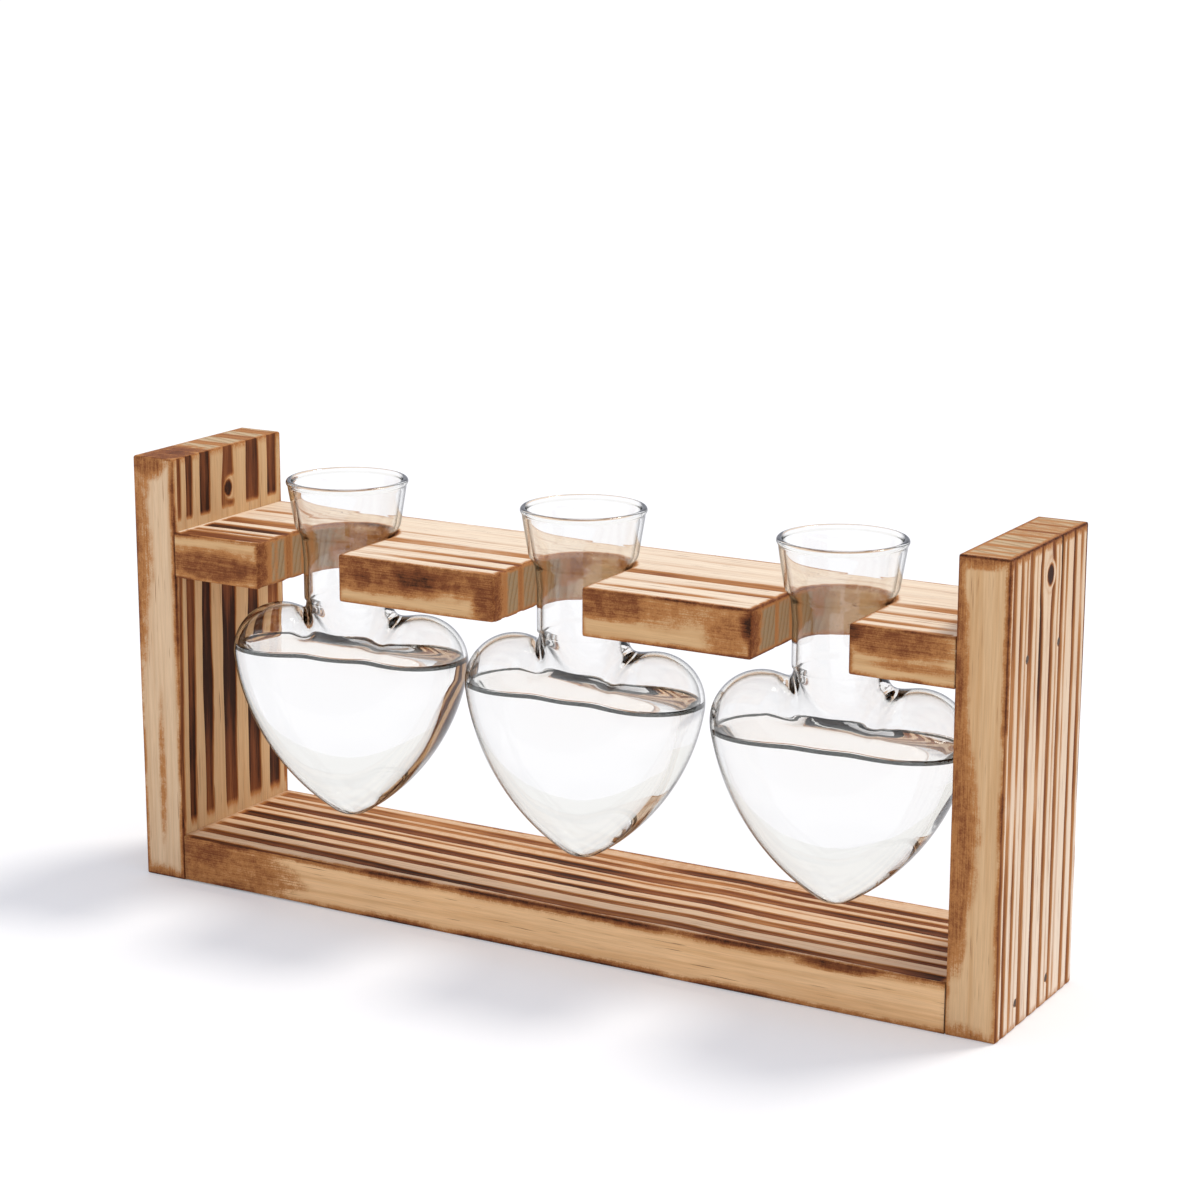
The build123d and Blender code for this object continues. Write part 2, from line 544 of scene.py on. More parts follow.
@dataclass(frozen=True)
class Knot:
    """A small round knot through a board: its places across and along it, and its radius.

    The board's bands bend aside round it. The other sizes are in its radii, across and along.
    """

    across: float
    along: float
    radius: float
    length: float = 4 / 3
    bend: float = 0.7
    bend_reach: Pair = (2.4, 3.2)

    def ring(self, across: Array, along: Array) -> Array:
        """How many radii each place is from the middle."""
        return np.hypot(across - self.across, (along - self.along) / self.length) / self.radius

    def pushed(self, across: Array, along: Array) -> Array:
        """Finds how far aside the knot pushes a band.

        Args:
            across: N places across the board.
            along: N places along it.

        Returns:
            N distances across it.
        """
        aside, off = (across - self.across) / self.radius, (along - self.along) / self.radius
        near = np.exp(-((aside / self.bend_reach[0]) ** 2) - (off / self.bend_reach[1]) ** 2)
        return self.bend * self.radius * near * np.tanh(aside)


@dataclass
class Board:
    """A torched board, whose bands lie low on its two wide faces. Y runs across it.

    Drift gives places along the board with how far its bands have moved back there, and paleness is for its
    low and its high end. Softness is for a band's front and back edge. Wander and swell are an amount and
    the length over which it changes, and core is how much paler a band's middle is, where and how wide.
    """

    name: str
    finish: PineFinish
    low: Triple
    high: Triple
    bands: tuple[Band, ...]
    drift: tuple[Pair, ...]
    clouds: tuple[Cloud, ...] = ()
    knots: tuple[Knot, ...] = ()
    nail_places: tuple[Pair, ...] = ()
    nail_face: int = 0
    joints: tuple[float, ...] = ()
    joint_margin: float = 3.0
    paleness: Pair = (0.25, 0.25)
    edge_radii: Triple = (0.8, 0.8, 0.8)
    groove_depth: float = 0.4
    band_softness: Pair = (0.5, 0.5)
    band_wander: Pair = (0.8, 46.0)
    band_swell: Pair = (0.55, 33.0)
    band_change: float = 0.5
    band_change_length: float = 36.0
    band_core: Triple = (0.22, 0.15, 0.45)
    cloud_grain: Pair = (2.6, 30.0)
    cloud_patch: float = 9.0
    edge_scorch: float = 1.0
    edge_rub_length: float = 17.0
    spacing_across: float = 0.42
    spacing_along: float = 2.6
    spacing_through: float = 1.4
    least_spacing: float = 0.05
    bend_shares: tuple[float, ...] = (0.0, 0.12, 0.35, 0.65)
    nail_shares: tuple[float, ...] = (-1.3, -1.0, -0.75, -0.4, 0.0, 0.4, 0.75, 1.0, 1.3)
    knot_reach: float = 2.2
    knot_lines: int = 23
    nail_pocket_radius: float = 1.4
    nail_pocket_depth: float = 0.5
    seed: int = 1
    run: Axis = field(init=False)
    flat: Axis = field(init=False)

    def __post_init__(self) -> None:
        """Notes the axis along the board and the one through it."""
        self.run = self.finish.run
        self.flat = Axis.X if self.run == Axis.Z else Axis.Z

    def lines(self, axis: Axis) -> Array:
        """Spaces the skin's lines along one axis, close together at rounded edges, nails and knots.

        Args:
            axis: The axis.

        Returns:
            The places in order.
        """
        start, end, radius = self.low[axis], self.high[axis], self.edge_radii[axis]
        spacing = {Axis.Y: self.spacing_across, self.run: self.spacing_along,
                   self.flat: self.spacing_through}[axis]
        count = max(2, round((end - start - 2 * radius) / spacing))
        bend = np.array(self.bend_shares) * radius
        spots = [start + bend, np.linspace(start + radius, end - radius, count + 1), end - bend]
        if axis != self.flat:
            nail_lines = self.nail_pocket_radius * np.array(self.nail_shares)
            spots += [nail[0 if axis == Axis.Y else 1] + nail_lines for nail in self.nail_places]
            knot_lines = np.linspace(-self.knot_reach, self.knot_reach, self.knot_lines)
            for knot in self.knots:
                middle = self.low[1] + knot.across if axis == Axis.Y else knot.along
                spots.append(middle + knot.radius * knot_lines)
        spots = np.sort(np.concatenate(spots))
        return spots[np.concatenate([[True], np.diff(spots) > self.least_spacing])]

    def skin(self) -> tuple[Array, list[list[int]], Array]:
        """Makes the board's skin before its relief.

        Returns:
            Points, faces and the outward direction at each point.
        """
        lines = [self.lines(axis) for axis in Axis]
        counts = np.array([len(line) for line in lines])
        grid = np.indices(counts).reshape(3, -1).T
        kept = grid[np.any((grid == 0) | (grid == counts - 1), axis=1)]
        number = np.full(counts, -1)
        number[tuple(kept.T)] = np.arange(len(kept))
        points = np.stack([lines[axis][kept[:, axis]] for axis in Axis], axis=1)
        faces = []
        for axis, end in itertools.product(Axis, (0, -1)):
            sheet = np.take(number, end, axis=axis)
            quads = np.stack([sheet[:-1, :-1], sheet[1:, :-1], sheet[1:, 1:], sheet[:-1, 1:]], axis=-1)
            faces.append(quads.reshape(-1, 4)[:, ::-1 if (end == 0) != (axis == Axis.Y) else 1])
        low, high, radii = np.array(self.low), np.array(self.high), np.array(self.edge_radii)
        core = np.clip(points, low + radii, high - radii)
        away = unit(points - core)
        depth = np.abs(points - core).max(axis=1, keepdims=True)
        points = core + away * depth
        # A board whose ends are square has no rounding there, so those points look along the board
        square = depth[:, 0] < radii.max() - 1e-6
        away[square] = 0.0
        away[square, self.run] = np.sign(points[square, self.run] - (low + high)[self.run] / 2)
        return points, np.concatenate(faces).tolist(), away

    def edge_distance(self, points: Array) -> Array:
        """Finds how far points of the skin are from the nearest edge that is no joint.

        Args:
            points: N x 3 places.

        Returns:
            N distances.
        """
        inside = np.minimum(points - np.array(self.low), np.array(self.high) - points)
        if self.edge_radii[self.run] == 0.0:
            inside[:, self.run] = np.inf
        return np.sort(inside, axis=1)[:, 1]

    def band_darkness(self, points: Array, away: Array) -> Array:
        """Finds how charred points are by the bands, which wander, swell and fade along the board.

        Args:
            points: N x 3 places.
            away: The outward direction at each.

        Returns:
            N values from 0 to 1.
        """
        along = points[:, self.run]
        across = points[:, Axis.Y] - self.low[Axis.Y]
        across = across - np.interp(along, *zip(*self.drift))
        for knot in self.knots:
            across = across - knot.pushed(across, along)
        dark = np.zeros(len(points))
        (front, back), (paler, place, width) = self.band_softness, self.band_core
        for number, band in enumerate(self.bands):
            lengths = ((self.band_wander[1], 0), (self.band_swell[1], 3), (self.band_change_length, 5))
            wander, swell, change = (noise(along / length, self.seed * 31 + number * 7 + shift) - 0.5
                                     for length, shift in lengths)
            half = band.width / 2 * (1.0 + self.band_swell[0] * swell)
            strength = band.darkness * (1.0 + self.band_change * 2.0 * change)
            strength *= np.interp(along, *zip(*band.strength))
            off = across - band.place - self.band_wander[0] * wander
            rise = ease(off, -half - front, -half + front)
            fall = 1.0 - ease(off, half - back, half + back)
            core = 1.0 - paler * np.exp(-((off + place * half) / (width * half)) ** 2)
            dark = np.maximum(dark, strength * rise * fall * core)
        for knot in self.knots:
            dark = dark * ease(knot.ring(across, along), 0.9, 1.5)
        for joint in self.joints:
            near = ease(np.abs(along - joint), self.joint_margin * 0.55, self.joint_margin * 1.15)
            dark = np.where(away[:, self.flat] > 0.3, dark * near, dark)
        return np.clip(dark, 0.0, 1.0)

    def cloud_darkness(self, points: Array, away: Array) -> Array:
        """Finds how scorched points are by the clouds, along the edges and round the knots.

        Args:
            points: N x 3 places.
            away: The outward direction at each.

        Returns:
            N values from 0 to 1.
        """
        along = points[:, self.run]
        grain = np.full(3, self.cloud_grain[0])
        grain[self.run] = self.cloud_grain[1]
        streaks = noise(points / grain, self.seed + 11) - 0.5
        patches = noise(points / self.cloud_patch, self.seed + 12, 3) - 0.5
        rubbed = ease(noise(along / self.edge_rub_length, self.seed + 2), 0.25, 0.6)
        near = np.exp(-((np.maximum(self.edge_distance(points), 0.0) / self.edge_scorch) ** 1.4))
        dark = (0.5 + 0.5 * rubbed) * near
        for cloud in self.clouds:
            axis, sign = cloud.face.value
            sides = [side for side in Axis if side != axis]
            off = (points[:, sides] - np.array(cloud.middle)) / np.array(cloud.reach)
            ring = np.linalg.norm(off, axis=1) + 0.9 * streaks + 0.5 * patches
            inside = 1.0 - ease(ring, 1.0 - cloud.softness, 1.0 + cloud.softness)
            depth = cloud.darkness * (1.0 + 0.5 * streaks + 0.4 * patches)
            dark = np.maximum(dark, depth * ease(away[:, axis] * sign, 0.3, 0.8) * inside)
        flat = np.abs(away[:, self.flat])
        for knot in self.knots:
            ring = knot.ring(points[:, Axis.Y] - self.low[Axis.Y], along) + 0.4 * patches
            dark = np.maximum(dark, flat * (1.0 - ease(ring, 0.6, 1.05)))
            dark = np.maximum(dark, 0.14 * flat * np.exp(-((ring - 1.4) / 0.25) ** 2))
        return np.clip(dark, 0.0, 1.0)

    def end_share(self, away: Array) -> Array:
        """How far each point lies on end grain, from its outward direction."""
        return ease(np.abs(away[:, self.run]), 0.5, 0.9)

    def pale_share(self, points: Array, away: Array) -> Array:
        """How pale the bare wood of the wide faces is, from the board's low end to its high end."""
        share = np.interp(points[:, self.run], (self.low[self.run], self.high[self.run]), self.paleness)
        return share * ease(np.abs(away[:, self.flat]), 0.4, 0.9)

    def carve(self, points: Array, away: Array, dark: Array) -> Array:
        """Lowers the charred bands, and the pockets of the nails' heads.

        Args:
            points: N x 3 places.
            away: The outward direction at each.
            dark: How charred each is.

        Returns:
            The lowered points.
        """
        flat, carved, radius = away[:, self.flat], points.copy(), self.nail_pocket_radius
        depth = self.groove_depth * ease(dark, 0.1, 0.8) * ease(np.abs(flat), 0.3, 0.95)
        for across, along in self.nail_places:
            ring = np.hypot(points[:, Axis.Y] - across, points[:, self.run] - along)
            pocket = self.nail_pocket_depth * (1.0 - ease(ring, radius * 0.9, radius * 1.1))
            depth = np.where(flat * self.nail_face > 0.9, np.maximum(depth, pocket), depth)
        carved[:, self.flat] -= np.sign(flat) * depth
        return carved

    def build(self) -> Object:
        """Makes the board, which stands for the solid of the same name.

        Returns:
            The piece.
        """
        points, faces, away = self.skin()
        end = self.end_share(away)
        narrow = 1.0 - ease(np.abs(away[:, self.flat]), 0.15, 0.6)
        dark = self.band_darkness(points, away) * (1.0 - 0.4 * end)
        piece = make_object(f"torched_{self.name}", self.carve(points, away, dark), faces)
        store(piece, "band", dark * (1.0 - narrow * (1.0 - end)))
        store(piece, "scorch", self.cloud_darkness(points, away))
        store(piece, "end", end)
        store(piece, "paleness", self.pale_share(points, away))
        piece.data.materials.append(self.finish.material())
        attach(piece, "stand")
        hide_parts(self.name)
        return piece


@dataclass
class VaseRail(Board):
    """The torched rail, whose slots end in a half round about the vases' axes and are open at the front."""

    slot_radius: float = 15.75
    slot_steps: int = 25
    mouth_radius: float = 0.9
    rail_edge_radius: float = 0.8
    skin_spacing: float = 0.78
    run_on: float = 3.0

    def face_distance(self, points: Array, axis: Axis) -> Array:
        """Distance from the nearer of the rail's two faces across an axis, under 0 in the wood."""
        low, high = self.low[axis], self.high[axis]
        return np.abs(points[:, axis] - (low + high) / 2) - (high - low) / 2

    def slot_distance(self, points: Array) -> Array:
        """Distance from the nearest slot, under 0 in it."""
        aside = np.abs(points[:, :1] - np.array(VASE_X)).min(axis=1)
        return np.hypot(aside, np.maximum(points[:, 1] - VASE_Y, 0.0)) - self.slot_radius

    def distance(self, points: Array) -> Array:
        """Finds how far points are from the rail's rounded skin. Its ends run on.

        Args:
            points: N x 3 places.

        Returns:
            N distances, under 0 in the wood.
        """
        board, slot = self.face_distance(points, Axis.Y), self.slot_distance(points)
        outline = np.where(points[:, 1] < VASE_Y, rounded(board, -slot, self.mouth_radius),
                           np.maximum(board, -slot))
        return rounded(outline, self.face_distance(points, Axis.Z), self.rail_edge_radius)

    def blank(self) -> BMesh:
        """Makes the sharp-edged rail, a little too long.

        Returns:
            The closed form.
        """
        (left, front, bottom), (right, back, top) = self.low, self.high
        radius = self.slot_radius
        rim = [(right + self.run_on, back), (left - self.run_on, back), (left - self.run_on, front)]
        for place in VASE_X:
            rim.append((place - radius, front))
            rim += [(place + radius * math.cos(t), VASE_Y + radius * math.sin(t))
                    for t in np.linspace(math.pi, 0.0, self.slot_steps)]
            rim.append((place + radius, front))
        rim.append((right + self.run_on, front))
        form = bmesh.new()
        face = form.faces.new([form.verts.new((x, y, bottom)) for x, y in rim])
        raised = bmesh.ops.extrude_face_region(form, geom=[face])
        tops = [v for v in raised["geom"] if isinstance(v, BMVert)]
        bmesh.ops.translate(form, verts=tops, vec=(0.0, 0.0, top - bottom))
        bmesh.ops.triangulate(form, faces=form.faces[:])
        bmesh.ops.recalc_face_normals(form, faces=form.faces[:])
        return form

    def skin(self) -> tuple[Array, list[list[int]], Array]:
        """Makes the rail's skin before its relief.

        Returns:
            Points, faces and the outward direction at each point.
        """
        form = remesh(self.blank(), self.skin_spacing)
        move(form, settle(places(form.verts), self.distance, 0.0, rounds=4))
        for end, outward in ((self.low[0], -1), (self.high[0], 1)):
            cut = bmesh.ops.bisect_plane(form, geom=form.verts[:] + form.edges[:] + form.faces[:],
                                         plane_co=(end, 0, 0), plane_no=(outward, 0, 0), clear_outer=True)
            rim = [e for e in cut["geom_cut"] if isinstance(e, BMEdge)]
            bmesh.ops.holes_fill(form, edges=rim, sides=0)
        form.verts.index_update()
        points = places(form.verts)
        faces = [[vert.index for vert in face.verts] for face in form.faces]
        form.free()
        return points, faces, unit(slopes(self.distance, points, NORMAL_STEP))

    def edge_distance(self, points: Array) -> Array:
        """How far each point is from the rail's nearest rounded edge."""
        board, height = (-self.face_distance(points, axis) for axis in (Axis.Y, Axis.Z))
        return np.sort(np.stack([board, self.slot_distance(points), height]), axis=0)[1]

    def end_share(self, away: Array) -> Array:
        """End grain shows on the sides of the slots."""
        return ease(np.abs(away[:, self.run]), 0.4, 0.9)


# Steel nails


@dataclass(frozen=True)
class NailFinish(Finish):
    """Bright wire nails gone dark with heat: a dull brown-grey metal with spots."""

    name: str = "heat-darkened steel"
    dark: str = "#4a3b32"
    light: str = "#6b5747"
    roughness: float = 0.5
    spot: float = 0.5

    def shader(self, tree: NodeTree) -> Node:
        """Adds the nodes.

        Args:
            tree: The material's node tree.

        Returns:
            The shader.
        """
        place = add_node(tree, "ShaderNodeTexCoord").outputs["Object"]
        signals = {"spots": add_node(tree, "ShaderNodeTexNoise", {
            "Vector": place, "Scale": 1.0 / (self.spot * METRES)})}
        add_steps(tree, signals, [("metal", Work.LAYER, "spots", self.dark, self.light)])
        return add_node(tree, "ShaderNodeBsdfPrincipled", {
            "Base Color": signals["metal"], "Metallic": 1.0, "Roughness": self.roughness})


@dataclass
class Nails:
    """The eight wire nails that hold the boards, two at each joint."""

    places_y: Pair = (-15.3, 8.9)
    heights: Pair = (112.1, 7.95)
    recess: float = 0.3
    head_diameter: float = 2.6
    head_thickness: float = 0.8
    shank_diameter: float = 1.6
    length: float = 36.0
    point_length: float = 1.6
    head_sides: int = 28
    shank_sides: int = 20

    def sizes(self) -> dict[str, float]:
        """The tree's named inputs, in metres."""
        return {name: METRES * size for name, size in (
            ("Head Radius", self.head_diameter / 2), ("Head Thickness", self.head_thickness),
            ("Shank Radius", self.shank_diameter / 2), ("Length", self.length),
            ("Point Length", self.point_length))}

    def tree(self, material: Material) -> NodeTree:
        """Builds the Geometry Nodes tree that drives one nail at each point of its input.

        Args:
            material: What the nails are made of.

        Returns:
            The tree.
        """
        tree = bpy.data.node_groups.new("wire nails", "GeometryNodeTree")
        for way in ("OUTPUT", "INPUT"):
            tree.interface.new_socket("Geometry", in_out=way, socket_type="NodeSocketGeometry")
        for name in self.sizes():
            tree.interface.new_socket(name, in_out="INPUT", socket_type="NodeSocketFloat")
        signals = dict(add_node(tree, "NodeGroupInput").outputs.items())
        # The shank starts inside the head, so that the union leaves no face between them
        add_steps(tree, signals, (
            ("Straight", Work.SUBTRACT, "Length", "Point Length"),
            ("Start", Work.MULTIPLY, "Head Thickness", 0.5),
            ("Shank Length", Work.SUBTRACT, "Straight", "Start"),
            ("Shank Middle", Work.ADD, "Straight", "Start"),
            ("Shank Middle", Work.MULTIPLY, "Shank Middle", 0.5)))
        nail = add_node(tree, "GeometryNodeMeshBoolean", operation="UNION", solver="EXACT")
        shank = signals["Shank Radius"]
        for kind, sides, radii, length, depth in (
                ("Cylinder", self.head_sides, {"Radius": signals["Head Radius"]}, "Head Thickness", "Start"),
                ("Cylinder", self.shank_sides, {"Radius": shank}, "Shank Length", "Shank Middle"),
                ("Cone", self.shank_sides, {"Radius Top": 0.0, "Radius Bottom": shank}, "Point Length",
                 "Straight")):
            part = add_node(tree, f"GeometryNodeMesh{kind}", {
                "Vertices": sides, **radii, "Depth": signals[length]})
            place = add_node(tree, "ShaderNodeCombineXYZ", {"Z": signals[depth]})
            lowered = add_node(tree, "GeometryNodeTransform", {"Geometry": part, "Translation": place})
            tree.links.new(lowered.outputs[0], nail.inputs["Mesh 2"])
        turn = add_node(tree, "GeometryNodeInputNamedAttribute", {"Name": "turn"}, data_type="FLOAT_VECTOR")
        driven = add_node(tree, "GeometryNodeInstanceOnPoints", {
            "Points": signals["Geometry"], "Instance": nail, "Rotation": turn.outputs[0]})
        real = add_node(tree, "GeometryNodeRealizeInstances", {0: driven})
        painted = add_node(tree, "GeometryNodeSetMaterial", {0: real, "Material": material})
        add_node(tree, "NodeGroupOutput", {0: painted})
        return tree

    def build(self) -> Object:
        """Makes the nails as one piece, which stands for their eight solids.

        Returns:
            The piece.
        """
        spots = [(side * (OUTER_X - self.recess), y, z)
                 for side in (-1, 1) for y in self.places_y for z in self.heights]
        seeds = make_object("nail_places", np.array(spots), [])
        turns = [(0.0, -math.copysign(math.pi / 2, spot[0]), 0.0) for spot in spots]
        layer = seeds.data.attributes.new("turn", "FLOAT_VECTOR", "POINT")
        layer.data.foreach_set("vector", np.array(turns, np.float32).ravel())
        modifier = seeds.modifiers.new("nails", "NODES")
        modifier.node_group = self.tree(NailFinish().material())
        for item in modifier.node_group.interface.items_tree:
            if item.in_out == "INPUT" and item.name in self.sizes():
                modifier[item.identifier] = self.sizes()[item.name]
        mesh = evaluated_mesh(seeds)
        mesh.shade_flat()
        piece = new_object("wire_nails", mesh)
        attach(piece, "stand")
        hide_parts(*[f"{joint}_nail_{side}_{end}" for joint in ("rail", "base")
                             for side in ("left", "right") for end in ("front", "back")])
        return piece


# Glass and water


@dataclass(frozen=True)
class ClearFinish(Finish):
    """A clear body that bends light: blown soda glass, or water.

    Glass looks clear face on. Where it is seen edge on, its colour is darkened by the angle to the eye. This
    painted dark line stands for the light's long way through the wall there and for the dark surroundings
    that the bent light shows. Where water wets the glass, the step in index is small and the wall all but
    vanishes, so the wetted side of the wall has the ratio of the two indices.
    """

    index: float
    # Painted shade: the colour that the glass darkens to where it is seen edge on
    clear: str = "#fbfbfa"
    edge: str = "#fbfbfa"
    painted_edge_start: float = 0.5
    painted_edge_end: float = 0.83

    def shader(self, tree: NodeTree) -> Node:
        """Adds the nodes: a lone one where no dark edge is painted.

        Args:
            tree: The material's node tree.

        Returns:
            The shader.
        """
        colour = self.clear
        # Painted shade: the colour darkens with the angle to the eye, towards the edges seen side on
        if self.edge != self.clear:
            facing = add_node(tree, "ShaderNodeLayerWeight", {"Blend": 0.5}).outputs["Facing"]
            signals = {"facing": facing}
            add_steps(tree, signals, (("share", Work.RISE, "facing", self.painted_edge_start, self.painted_edge_end),
                                      ("colour", Work.LAYER, "share", self.clear, self.edge)))
            colour = signals["colour"]
        return add_node(tree, "ShaderNodeBsdfPrincipled", {
            "Base Color": colour, "Roughness": 0.0, "IOR": self.index, "Transmission Weight": 1.0})


@dataclass(frozen=True)
class WaterSideFinish(Finish):
    """The water's side, which lies on the wetted glass. The glass already bends the light there."""

    name: str = "water against glass"

    def shader(self, tree: NodeTree) -> Node:
        """Adds the one node."""
        return add_node(tree, "ShaderNodeBsdfTransparent", {0: WHITE})


@dataclass
class HeartVase:
    """A blown vase that hangs by its flared neck: two lobes over a rounded tip. Heights are over the table.

    The neck is its outside from the mouth down, as radius, height and the rounding of its bend. The tip and
    the bulb are a height and a radius, and a lobe is a place aside, a height and a radius.
    """

    body: str
    solid: str
    place_x: float
    turn: float
    water_height: float
    wall: float = 1.4
    neck: tuple[Triple, ...] = (
        (19.7, 137.0, 0.0), (17.3, 122.4, 5.0), (15.4, 119.15, 5.0), (14.8, 112.1, 20.0),
        (13.5, 84.5, 4.0), (12.2, 77.5, 4.0), (12.2, 62.0, 0.0))
    neck_rows: int = 34
    bend_steps: int = 7
    lip: Triple = (19.0, 137.0, 1.0)
    lip_turn: float = 0.8
    lip_steps: int = 15
    lip_gap: float = 0.72
    tip: Pair = (34.6, 11.0)
    bulb: Pair = (59.0, 21.0)
    lobe: Triple = (25.3, 78.0, 16.0)
    side_radius: float = 76.0
    heart_softness: float = 14.0
    softness_top: float = 80.0
    crease_softness: float = 9.0
    joint_height: float = 97.5
    joint_gaps: Pair = (0.2, 0.9)
    ball_bulge: float = 1.5
    ball_steps: int = 7
    plug_radii: Pair = (9.6, 13.9)
    plug_foot: float = 70.0
    plug_over: float = 5.0
    skin_spacing: float = 0.8
    first_spacing: float = 1.2
    relax_rounds: int = 6
    least_softness: float = 0.01
    meniscus_rise: float = 1.7
    meniscus_reach: float = 1.5
    meniscus_rows: tuple[float, ...] = (0.2, 0.5, 0.9, 1.4, 2.1, 3.0, 4.2)
    # Painted shade: how far over the water the dark band on the glass starts and ends
    painted_line_rise: Pair = (0.1, 1.25)
    water_gap: float = 0.03

    def drop_distance(self, points: Array, aside: float, height: float, radius: float) -> Array:
        """Finds how far points are from a drop between the tip's ball and another, with bulging sides.

        Args:
            points: N x 3 places.
            aside: The other ball's place along X.
            height: Its height.
            radius: Its radius.

        Returns:
            N distances, under 0 within.
        """
        tip = np.array([0.0, 0.0, self.tip[0]])
        line = np.array([aside, 0.0, height]) - tip
        length = np.linalg.norm(line)
        along = (points - tip) @ (line / length)
        out = np.linalg.norm(points - tip - along[:, None] * (line / length), axis=1)
        tip_reach, ball_reach = self.side_radius - self.tip[1], self.side_radius - radius
        middle = (tip_reach**2 - ball_reach**2 + length**2) / (2 * length)
        depth = math.sqrt(tip_reach**2 - middle**2)
        side = np.hypot(along - middle, out + depth) - self.side_radius
        past_tip = (along - middle) * depth + middle * (out + depth) < 0
        past_ball = (length - middle) * (out + depth) - (along - middle) * depth < 0
        bulging = np.where(past_ball, np.hypot(along - length, out) - radius, side)
        return np.where(past_tip, np.hypot(along, out) - self.tip[1], bulging)

    def neck_outline(self) -> list[Pair]:
        """Rounds the bends of the neck's outside.

        Returns:
            Radius and height of its points from the mouth down.
        """
        outline = [self.neck[0][:2]]
        for before, here, after in zip(self.neck, self.neck[1:], self.neck[2:]):
            corner, radius = Vector(here[:2]), here[2]
            back, on = Vector(before[:2]) - corner, Vector(after[:2]) - corner
            half = (math.pi - back.angle(on)) / 2
            reach = radius * math.tan(half)
            start, end = corner + back.normalized() * reach, corner + on.normalized() * reach
            centre = corner + (back.normalized() + on.normalized()).normalized() * radius / math.cos(half)
            for share in np.linspace(0.0, 1.0, self.bend_steps):
                spoke = (start - centre).lerp(end - centre, share)
                outline.append(tuple(centre + spoke.normalized() * radius))
        return outline + [self.neck[-1][:2]]

    def balls(self) -> list[Triple]:
        """The balls that the heart's three drops end in: place aside, height and radius."""
        return [(side * self.lobe[0], *self.lobe[1:]) for side in (-1, 1)] + [(0.0, *self.bulb)]

    def form_distance(self, points: Array) -> Array:
        """Finds how far points are from the vase's outside, whose parts run softly into each other.

        Args:
            points: N x 3 places.

        Returns:
            N distances, under 0 within.
        """
        outline = np.array(self.neck_outline())[::-1]
        radius = np.interp(points[:, 2], outline[:, 1], outline[:, 0])
        neck = np.maximum(np.hypot(points[:, 0], points[:, 1]) - radius, outline[0, 1] - points[:, 2])
        left, right, bulb = (self.drop_distance(points, *ball) for ball in self.balls())
        spread = np.clip((points[:, 2] - self.tip[0]) / (self.softness_top - self.tip[0]), 0.0, 1.0)
        softness = self.least_softness + self.heart_softness * spread * (2.0 - spread)
        return joined(joined(joined(left, right, softness), bulb, softness), neck, self.crease_softness)

    def heart_blank(self, level: float) -> BMesh:
        """Makes the heart and the neck's foot roughly, of overlapping balls and a plug.

        Args:
            level: How far out of the vase's outside the form is.

        Returns:
            The closed forms.
        """
        form = bmesh.new()
        tip = Vector((0.0, 0.0, self.tip[0]))
        for (aside, height, radius), share in itertools.product(
                self.balls(), np.linspace(0.0, 1.0, self.ball_steps)):
            size = self.tip[1] + (radius - self.tip[1]) * share + level
            size += 4 * self.ball_bulge * share * (1 - share)
            middle = tip.lerp(Vector((aside, 0.0, height)), share)
            bmesh.ops.create_icosphere(form, subdivisions=4, radius=size, matrix=Matrix.Translation(middle))
        low, high = self.plug_foot, self.joint_height + self.plug_over
        bmesh.ops.create_cone(form, cap_ends=True, segments=64, radius1=self.plug_radii[0] + level,
                              radius2=self.plug_radii[1] + level, depth=high - low,
                              matrix=Matrix.Translation((0.0, 0.0, (high + low) / 2)))
        return form

    def heart_skin(self, level: float) -> BMesh:
        """Makes the skin of the heart and the foot of the neck, cut level where the turned neck starts.

        Args:
            level: How far out of the vase's outside the skin is, so minus the wall gives the inside.

        Returns:
            The open skin, in millimetres in the vase's own frame.
        """
        # The first pass fills the hollows, so that the second starts close and folds no face
        skin = remesh(self.heart_blank(level), self.first_spacing)
        move(skin, settle(places(skin.verts), self.form_distance, level, rounds=5))
        skin = remesh(skin, self.skin_spacing)
        skin.verts.index_update()
        edges = np.array([[vert.index for vert in edge.verts] for edge in skin.edges])
        points = settle(places(skin.verts), self.form_distance, level, rounds=3)
        for _ in range(self.relax_rounds):
            points = settle(relax(points, edges), self.form_distance, level, rounds=2)
        move(skin, points)
        self.cut(skin, self.joint_height, True)
        return skin

    def cut(self, skin: BMesh, height: float, open_above: bool) -> None:
        """Cuts a skin along a level line and can take away what is above it."""
        bmesh.ops.bisect_plane(skin, geom=skin.verts[:] + skin.edges[:] + skin.faces[:], dist=1e-4,
                               plane_co=(0, 0, height), plane_no=(0, 0, 1), clear_outer=open_above)

    def rims(self, skin: BMesh) -> list[list[BMVert]]:
        """Finds the open rims of a skin.

        Args:
            skin: The skin.

        Returns:
            Each rim as its points in order.
        """
        left = dict.fromkeys(edge for edge in skin.edges if edge.is_boundary)
        found = []
        while left:
            edge = next(iter(left))
            rim = [edge.verts[0]]
            while edge:
                left.pop(edge)
                rim.append(edge.other_vert(rim[-1]))
                edge = next((e for e in rim[-1].link_edges if e in left), None)
            found.append(rim[:-1])
        return found

    def lip_profile(self) -> list[Pair]:
        """Draws the neck from just over the joint, up its outside, round the lip's bead and down its inside.

        Returns:
            Radius and height of each ring of points.
        """
        start, first = (self.joint_height + gap for gap in self.joint_gaps)
        radii, heights = np.array([p for p in self.neck_outline() if p[1] > start][::-1]).T
        rows = np.unique(np.concatenate([heights, np.linspace(first, heights[-1], self.neck_rows)]))
        across, height, bead = self.lip
        rows = rows[rows < height - self.lip_gap]
        outside = list(zip(np.interp(rows, heights, radii).tolist(), rows.tolist()))
        turns = np.linspace(-self.lip_turn, math.pi + self.lip_turn, self.lip_steps)
        lip = [(across + bead * math.cos(t), height + bead * math.sin(t)) for t in turns]
        return outside + lip + [(radius - self.wall, z) for radius, z in reversed(outside)]

